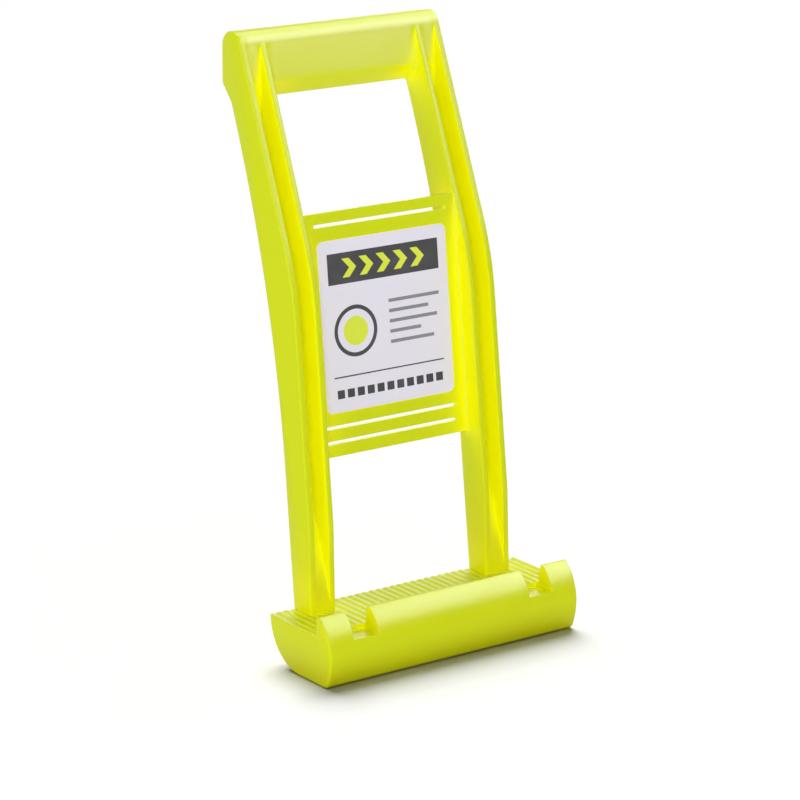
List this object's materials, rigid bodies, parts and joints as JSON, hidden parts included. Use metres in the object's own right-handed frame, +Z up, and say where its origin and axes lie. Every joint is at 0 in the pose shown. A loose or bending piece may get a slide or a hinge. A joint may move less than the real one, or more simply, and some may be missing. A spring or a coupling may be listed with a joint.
{
  "type": "panel carrier",
  "caption": "Hand carrier for sheets and boards: a bowed rail frame with a grip bar, a label plate and a ribbed trough whose notched lip hooks under the panel's edge.",
  "frame": {"origin": "on the trough's flat underside, at the middle of its length, midway between where the front round and the rear curve come down to the floor", "axes": "+X to the right as seen from the lip's side, +Y from the lip towards the back, +Z up from the floor towards the grip"},
  "size_m": [0.1776, 0.1317, 0.3555],
  "materials": {
    "moulding": "satin moulded, high-visibility yellow-green",
    "label_film": "satin printed film"
  },
  "bodies": {
    "root": {"grip_bar": "moulding", "left_rail": "moulding", "right_rail": "moulding", "label_plate": "moulding", "base_trough": "moulding", "label": "label_film"}
  },
  "joints": []
}
